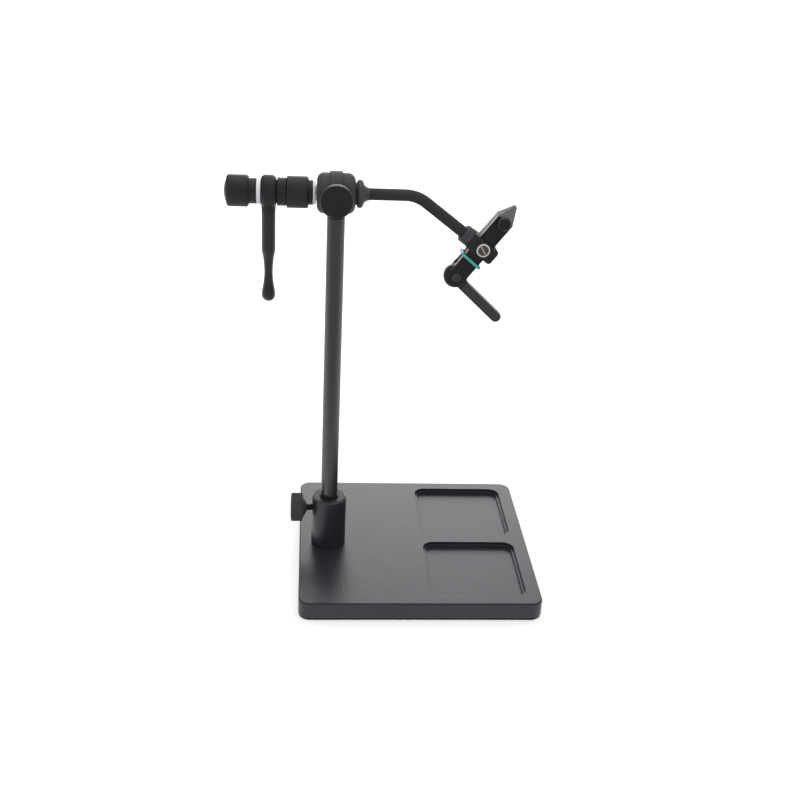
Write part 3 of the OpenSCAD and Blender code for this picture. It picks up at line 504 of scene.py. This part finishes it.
def makePad(look):
    rng = random.Random(look["seed"])
    outline = evenly(roundedLine(look["width"] / 2, look["depth"] / 2, look["corner"],
                                 look["cornerSteps"]), look["step"])
    wander = [rng.uniform(-1, 1) for i in outline]
    rings = []
    for height, inset in look["bulge"]:
        ring = []
        for i, point in enumerate(outline):
            outward = Vector((point.x / look["width"], point.y / look["depth"], 0)).normalized()
            # a point follows its own wander for one half and its neighbours' for the other
            near = wander[i] / 2 + (wander[i - 1] + wander[(i + 1) % len(outline)]) / 4
            torn = look["cutBack"] + look["follow"] * near + look["loose"] * rng.uniform(-1, 1)
            edge = point + outward * (inset - look["ragged"] * torn)
            ring.append(place(edge.x, edge.y, height))
        rings.append(ring)
    return meshPiece("foamPad", *loft(rings, (place(0, 0, 0), place(0, 0, look["height"]))),
                     blackFoam, look["sharpFrom"])


foamPad = finishPiece(makePad(padLook), "base", "foam", "base_pad")
print("foam pad cut")


leverLook = {
    # drop from the rotary axis and radius, in millimetres; the last point starts the round end
    "outline": [(10.9, 3.4), (11.2, 3.7), (16, 3.7), (22, 3.7), (28, 3.7), (31.7, 3.68),
                (33.6, 3.48), (35.7, 3.03), (39.2, 2.57), (42.5, 2.35), (45.9, 2.3), (49.3, 2.53),
                (52.7, 2.99), (56, 3.58), (57.9, 3.7)],
    "end": 61.6,
    "endStep": 9,     # degrees between the rings of the round end
    "endFlat": 0.25,  # radius of its last ring
    "around": 64,
    "between": 5,  # rings between two points of the outline
}


def smoothOutline(points, between):
    # Catmull-Rom curve through the outline's points
    curve = []
    for i in range(len(points) - 1):
        before = points[max(i - 1, 0)]
        start, end = points[i], points[i + 1]
        after = points[min(i + 2, len(points) - 1)]
        for step in range(between):
            t = step / between
            curve.append(tuple(
                0.5 * (2 * b + (c - a) * t + (2 * a - 5 * b + 4 * c - d) * t * t
                       + (3 * b - a - 3 * c + d) * t ** 3)
                for a, b, c, d in zip(before, start, end, after)))
    return curve + [points[-1]]


def lathe(outline, around, toPlace):
    # closed turned shape from lengths along the axis and radii
    rings = []
    for along, radius in outline:
        angles = [2 * math.pi * i / around for i in range(around)]
        rings.append([toPlace(along, radius * math.cos(a), radius * math.sin(a)) for a in angles])
    return loft(rings, (toPlace(outline[0][0], 0, 0), toPlace(outline[-1][0], 0, 0)))


def outwards(piece):
    # turns every face of a closed piece to point out of it
    mesh = piece.data
    volume = sum(face.center.dot(face.normal) * face.area for face in mesh.polygons)
    if volume < 0:
        mesh.flip_normals()
    return piece


def makeLever(look):
    outline = smoothOutline(look["outline"], look["between"])
    radius = look["outline"][-1][1]
    start = look["outline"][-1][0]
    outline += [(start + (look["end"] - start) * math.sin(math.radians(a)),
                 radius * math.cos(math.radians(a)))
                for a in range(look["endStep"], 90, look["endStep"])]
    outline.append((look["end"], look["endFlat"]))
    points, faces = lathe(outline, look["around"], lambda along, u, v: place(
        layout["crankX"] + u, layout["headY"] + v, layout["axisZ"] - along))
    return outwards(meshPiece("crankLever", points, faces, leverOxide))


finishPiece(makeLever(leverLook), "crank", "black_steel", "crank_lever")
print("crank lever turned")


threadLook = {
    "from": 5.4, "to": 17.8,   # millimetres from the stem's axis
    "outer": 2.0, "inner": 1.62, "pitch": 0.7,
    "steepness": 1.25,         # over 1 it leaves a flat crest
    "around": 40, "perPitch": 8, "sharpFrom": 50,
}


def makeThread(look):
    around = look["around"]
    rows = round((look["to"] - look["from"]) / look["pitch"] * look["perPitch"])
    rings = []
    for row in range(rows + 1):
        along = look["from"] + (look["to"] - look["from"]) * row / rows
        ring = []
        for i in range(around):
            phase = (along / look["pitch"] - i / around) % 1
            ridge = min(1, look["steepness"] * (1 - abs(2 * phase - 1)))
            radius = look["inner"] + (look["outer"] - look["inner"]) * ridge
            angle = 2 * math.pi * i / around
            ring.append(place(layout["stemX"] - along,
                              layout["stemY"] + radius * math.cos(angle),
                              layout["lockZ"] + radius * math.sin(angle)))
        rings.append(ring)
    ends = [place(layout["stemX"] - along, layout["stemY"], layout["lockZ"])
            for along in (look["from"], look["to"])]
    return outwards(meshPiece("lockThread", *loft(rings, ends), screwOxide, look["sharpFrom"]))


finishPiece(makeThread(threadLook), "stem_lock", "black_screw", "stem_lock_screw")

knobLook = {
    # distance from the knob's inner face and radius, in millimetres: a ribbed cone, then the disc
    "outline": [(0, 2.1), (0.05, 2.55), (0.5, 3.15), (0.55, 3.5), (1, 4), (1.05, 4.35),
                (1.55, 4.85), (1.6, 5.2), (2.1, 5.7), (2.2, 6.8), (2.65, 7.75), (2.9, 8.02),
                (8.7, 8.02), (9, 7.85), (9.35, 7.1), (9.4, 6.6), (9.2, 6.4), (9.15, 2)],
    "around": 96, "sharpFrom": 30,
    "teeth": 72, "toothRadius": 8, "toothHeight": 0.28, "toothFrom": 2.6, "toothTo": 9,
}


def makeKnob(look):
    points, faces = lathe(look["outline"], look["around"], lambda along, u, v: place(
        layout["lockX"] - along, layout["stemY"] + u, layout["lockZ"] + v))
    return outwards(meshPiece("lockKnob", points, faces, lockOxide, look["sharpFrom"]))


def knurlTree():
    # a ring of straight teeth round the X axis: each one is a square bar with one edge outwards
    tree = bpy.data.node_groups.new("knurlTeeth", "GeometryNodeTree")
    sockets = tree.interface
    for label, kind in (("Radius", "NodeSocketFloat"), ("Teeth", "NodeSocketInt"),
                        ("Height", "NodeSocketFloat"), ("Length", "NodeSocketFloat"),
                        ("Centre", "NodeSocketVector"), ("Finish", "NodeSocketMaterial")):
        sockets.new_socket(label, in_out="INPUT", socket_type=kind)
    sockets.new_socket("Geometry", in_out="OUTPUT", socket_type="NodeSocketGeometry")
    given = add(tree, "NodeGroupInput").outputs
    ring = add(tree, "GeometryNodeMeshCircle", {
        "Vertices": given["Teeth"], "Radius": given["Radius"]})
    bar = add(tree, "GeometryNodeMeshCylinder", {
        "Vertices": 4, "Side Segments": 1, "Radius": given["Height"], "Depth": given["Length"]})
    outward = add(tree, "GeometryNodeInputPosition")
    turn = add(tree, "FunctionNodeAlignRotationToVector", {
        "Vector": outward.outputs["Position"]}, axis="X", pivot_axis="Z")
    teeth = add(tree, "GeometryNodeInstanceOnPoints", {
        "Points": ring.outputs["Mesh"], "Instance": bar.outputs["Mesh"],
        "Rotation": turn.outputs["Rotation"]})
    placed = add(tree, "GeometryNodeTransform", {
        "Geometry": teeth.outputs["Instances"], "Rotation": (0, math.radians(-90), 0),
        "Translation": given["Centre"]})
    real = add(tree, "GeometryNodeRealizeInstances", {"Geometry": placed.outputs["Geometry"]})
    dressed = add(tree, "GeometryNodeSetMaterial", {
        "Geometry": real.outputs["Geometry"], "Material": given["Finish"]})
    add(tree, "NodeGroupOutput", {"Geometry": dressed.outputs["Geometry"]})
    return tree


def fromTree(name, tree, values, material):
    # runs a tree on an empty mesh and keeps the result as a plain mesh piece
    holder = bpy.data.objects.new(name, bpy.data.meshes.new(name))
    bpy.context.scene.collection.objects.link(holder)
    modifier = holder.modifiers.new("grow", "NODES")
    modifier.node_group = tree
    for item in tree.interface.items_tree:
        if item.in_out == "INPUT" and item.name in values:
            modifier[item.identifier] = values[item.name]
    bpy.context.view_layer.update()
    ready = holder.evaluated_get(bpy.context.evaluated_depsgraph_get())
    mesh = bpy.data.meshes.new_from_object(ready)
    holder.modifiers.clear()
    holder.data = mesh
    mesh.name = name
    mesh.materials.clear()
    mesh.materials.append(material)
    return holder


finishPiece(makeKnob(knobLook), "stem_lock", "black_steel", "stem_lock_knob")
toothMiddle = (knobLook["toothFrom"] + knobLook["toothTo"]) / 2
lockTeeth = fromTree("lockKnobTeeth", knurlTree(), {
    "Radius": knobLook["toothRadius"] * mm, "Teeth": knobLook["teeth"],
    "Height": knobLook["toothHeight"] * mm,
    "Length": (knobLook["toothTo"] - knobLook["toothFrom"]) * mm,
    "Centre": place(layout["lockX"] - toothMiddle, layout["stemY"], layout["lockZ"]),
    "Finish": lockOxide}, lockOxide)
finishPiece(lockTeeth, "stem_lock", "black_steel", "stem_lock_knob")
print("stem lock knob knurled:", knobLook["teeth"], "teeth")


bandLook = {
    "halfAcross": 6.1, "front": -5.3, "back": 4.4, "corner": 1.1,  # centre line, millimetres
    "radius": 0.85, "drop": 9, "middle": -0.9,
    "tilt": 0.3,      # the band sits a little askew, higher towards the arm
    "around": 20, "cornerSteps": 8, "runSteps": 10, "sharpFrom": 80,
}


def bandPath(look):
    # the band's centre line: straight runs between the jaws' corners, a little askew
    path = roundedLine(look["halfAcross"], (look["back"] - look["front"]) / 2, look["corner"],
                       look["cornerSteps"], (look["front"] + look["back"]) / 2)
    spaced = []
    for start, end in zip(path, path[1:] + path[:1]):
        count = look["runSteps"] if (end - start).length > 2 * look["corner"] else 1
        spaced += [start.lerp(end, i / count) for i in range(count)]
    for point in spaced:
        point.z = -look["drop"] - look["tilt"] * point.x / look["halfAcross"]
    return spaced


def makeBand(look):
    path = bandPath(look)
    rings = []
    for i, centre in enumerate(path):
        along = (path[(i + 1) % len(path)] - path[i - 1]).normalized()
        outward = along.cross(Vector((0, 0, 1))).normalized()
        up = outward.cross(along)
        ring = []
        for k in range(look["around"]):
            angle = 2 * math.pi * k / look["around"]
            local = centre + look["radius"] * (math.cos(angle) * outward + math.sin(angle) * up)
            ring.append(jawOrigin + mm * ((local.x + look["middle"]) * alongBlock
                                          + Vector((0, local.y, 0)) + local.z * upJaws))
        rings.append(ring)
    return outwards(meshPiece("jawBand", *loft(rings), tealRubber, look["sharpFrom"]))


finishPiece(makeBand(bandLook), "rotor", "teal_rubber", "jaw_band")
print("rubber band stretched")


studio = {
    "worldLight": 0.85,  # strength that lights the object; the seen background is 1
    "gloss": {"low": 0.35, "from": -0.15, "level": 0.02},  # the room's walls as gloss sees them
    "overhead": {"at": (0.0, 0.25, 1.15), "size": 1.0, "power": 3.4, "aim": (0, 0, 0.08)},
    "rear": {"at": (0.1, 1.5, 0.6), "size": 1.0, "power": 8.9, "aim": (0, 0, 0.05)},
    "paper": {"colour": "#c6c6c6", "roughness": 0.9, "specular": 0.2, "half": 4, "below": 0.0002},
    # lifts the seen table to white, less so near the vise, where its shadow lies
    "lift": {"near": 0.54, "far": 0.85, "from": 0.25, "to": 1.6},
    # gloss sees the table fade in front
    "table": {"level": 1.08, "front": 0.5, "from": 0.07, "to": 0.2},
}


def worldLight(look):
    # seen directly it is white; as a light it is softer, and gloss sees a white table, dim walls
    world = bpy.data.worlds.new("studioWhite")
    bpy.context.scene.world = world
    world.use_nodes = True
    tree = world.node_tree
    tree.nodes.clear()
    rays = add(tree, "ShaderNodeLightPath")
    seen = add(tree, "ShaderNodeMath", {
        0: rays.outputs["Is Camera Ray"], 1: rays.outputs["Is Transmission Ray"]},
        operation="MAXIMUM")
    plain = add(tree, "ShaderNodeMapRange", {
        "Value": seen.outputs["Value"], "To Min": look["worldLight"], "To Max": 1})
    direction = add(tree, "ShaderNodeSeparateXYZ", {
        "Vector": add(tree, "ShaderNodeTexCoord").outputs["Generated"]})
    wall = add(tree, "ShaderNodeMapRange", {
        "Value": direction.outputs["Z"], "From Min": look["gloss"]["from"],
        "From Max": look["gloss"]["level"], "To Min": 1, "To Max": look["gloss"]["low"]})
    strength = add(tree, "ShaderNodeMix", {
        "Factor": rays.outputs["Is Glossy Ray"], 2: plain.outputs["Result"],
        3: wall.outputs["Result"]})
    back = add(tree, "ShaderNodeBackground", {
        "Color": (1, 1, 1, 1), "Strength": strength.outputs[0]})
    add(tree, "ShaderNodeOutputWorld", {"Surface": back.outputs["Background"]})


def softbox(name, look):
    light = bpy.data.lights.new(name, "AREA")
    light.shape = "SQUARE"
    light.size = look["size"]
    light.energy = look["power"]
    lamp = bpy.data.objects.new(name, light)
    bpy.context.scene.collection.objects.link(lamp)
    lamp.location = look["at"]
    aim = Vector(look["aim"]) - Vector(look["at"])
    lamp.rotation_euler = aim.to_track_quat("-Z", "Y").to_euler()
    lamp.visible_camera = False


def whiteFloor(look):
    # matt white paper; the camera sees it lifted to white with the shadow kept, and gloss sees
    # it evenly lit but for its front part, which lies in the dark of the room
    paper = look["paper"]
    material, tree, shader = newFinish("paperWhite", {
        "Base Color": linear(paper["colour"]), "Roughness": paper["roughness"],
        "Specular IOR Level": paper["specular"], "Emission Color": (1, 1, 1, 1)})
    at = add(tree, "ShaderNodeTexCoord").outputs["Object"]
    rays = add(tree, "ShaderNodeLightPath")
    away = add(tree, "ShaderNodeVectorMath", {0: at}, operation="LENGTH")
    lift = add(tree, "ShaderNodeMapRange", {
        "Value": away.outputs["Value"],
        "From Min": look["lift"]["from"], "From Max": look["lift"]["to"],
        "To Min": look["lift"]["near"], "To Max": look["lift"]["far"]})
    glow = add(tree, "ShaderNodeMath", {
        0: rays.outputs["Is Camera Ray"], 1: lift.outputs["Result"]}, operation="MULTIPLY")
    tree.links.new(glow.outputs["Value"], shader.inputs["Emission Strength"])
    forward = add(tree, "ShaderNodeSeparateXYZ", {"Vector": at})
    lit = add(tree, "ShaderNodeMapRange", {
        "Value": forward.outputs["Y"],
        "From Min": -look["table"]["from"], "From Max": -look["table"]["to"],
        "To Min": look["table"]["level"], "To Max": look["table"]["front"]})
    gloss = add(tree, "ShaderNodeEmission", {"Strength": lit.outputs["Result"]})
    both = add(tree, "ShaderNodeMixShader", {
        0: rays.outputs["Is Glossy Ray"], 1: shader.outputs["BSDF"], 2: gloss.outputs["Emission"]})
    output = [node for node in tree.nodes if node.type == "OUTPUT_MATERIAL"][0]
    tree.links.new(both.outputs["Shader"], output.inputs["Surface"])
    points = [Vector((x * paper["half"], y * paper["half"], -paper["below"]))
              for x, y in ((-1, -1), (1, -1), (1, 1), (-1, 1))]
    floor = meshPiece("paperFloor", points, [(0, 1, 2, 3)], material)


worldLight(studio)
softbox("overheadSoftbox", studio["overhead"])
softbox("rearSoftbox", studio["rear"])
whiteFloor(studio)

view = {  # where the photograph was taken from
    "at": (-0.065175, -0.612431, 0.384865), "lens": 53.445, "sensor": 36, "nearest": 0.01,
    "down": 0.4306, "aside": 0.0866, "roll": -0.0513,  # radians
}


def photoCamera(look):
    data = bpy.data.cameras.new("photoCamera")
    data.lens = look["lens"]
    data.sensor_width = look["sensor"]
    data.clip_start = look["nearest"]
    camera = bpy.data.objects.new("photoCamera", data)
    bpy.context.scene.collection.objects.link(camera)
    down, aside, roll = look["down"], look["aside"], look["roll"]
    forward = Vector((math.sin(aside) * math.cos(down), math.cos(aside) * math.cos(down),
                      -math.sin(down)))
    right = Vector((math.cos(aside), -math.sin(aside), 0))
    below = forward.cross(right)
    rolledRight = math.cos(roll) * right + math.sin(roll) * below
    rolledBelow = -math.sin(roll) * right + math.cos(roll) * below
    turned = Matrix((rolledRight, -rolledBelow, -forward)).transposed().to_4x4()
    camera.matrix_world = Matrix.Translation(look["at"]) @ turned
    bpy.context.scene.camera = camera


photoCamera(view)
bpy.context.scene.view_settings.view_transform = "Standard"
print("studio lit and camera placed")
